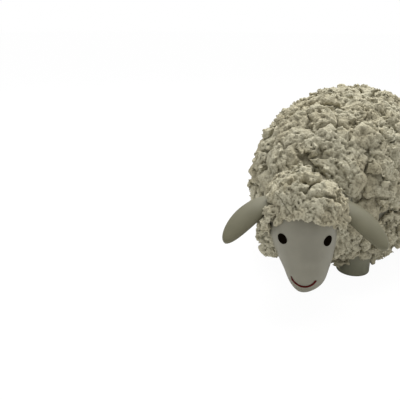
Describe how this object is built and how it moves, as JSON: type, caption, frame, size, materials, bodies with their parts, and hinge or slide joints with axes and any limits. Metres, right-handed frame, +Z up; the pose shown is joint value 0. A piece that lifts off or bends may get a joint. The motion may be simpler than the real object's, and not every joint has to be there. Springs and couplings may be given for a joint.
{
  "type": "sheep figurine",
  "caption": "Standing ceramic sheep with a round body covered in crumbly clay fleece, a smooth wedge face turned to its left, drooping ears and short stub feet.",
  "frame": {"origin": "on the ground, under the middle of the whole figurine's box", "axes": "-Y is the way the body faces, +X is the sheep's left, towards which the head is turned, +Z is up"},
  "size_m": [0.1655, 0.2926, 0.1485],
  "materials": {
    "fleece": "matte, unglazed, crumbled clay",
    "body_clay": "matte, unglazed",
    "smooth_clay": "smooth, satin",
    "feet": "smooth, satin",
    "eye_glaze": "dark gloss glaze",
    "mouth_glaze": "thin dark red glaze line"
  },
  "bodies": {
    "root": {"fleece_chest": "fleece", "fleece_withers": "fleece", "fleece_loin": "fleece", "fleece_rump": "fleece", "fleece_shoulder_left": "fleece", "fleece_shoulder_right": "fleece", "fleece_haunch_left": "fleece", "fleece_haunch_right": "fleece", "fleece_crown": "fleece", "fleece_cheek_left": "fleece", "fleece_cheek_right": "fleece", "fleece_nape": "fleece", "body_front_half": "body_clay", "body_rear_half": "body_clay", "neck_collar": "body_clay", "head_shell": "smooth_clay", "ear_left": "smooth_clay", "ear_right": "smooth_clay", "tail": "smooth_clay", "foot_front_left": "feet", "foot_front_right": "feet", "foot_rear_left": "feet", "foot_rear_right": "feet", "eye_left": "eye_glaze", "eye_right": "eye_glaze", "mouth_line": "mouth_glaze"}
  },
  "joints": []
}
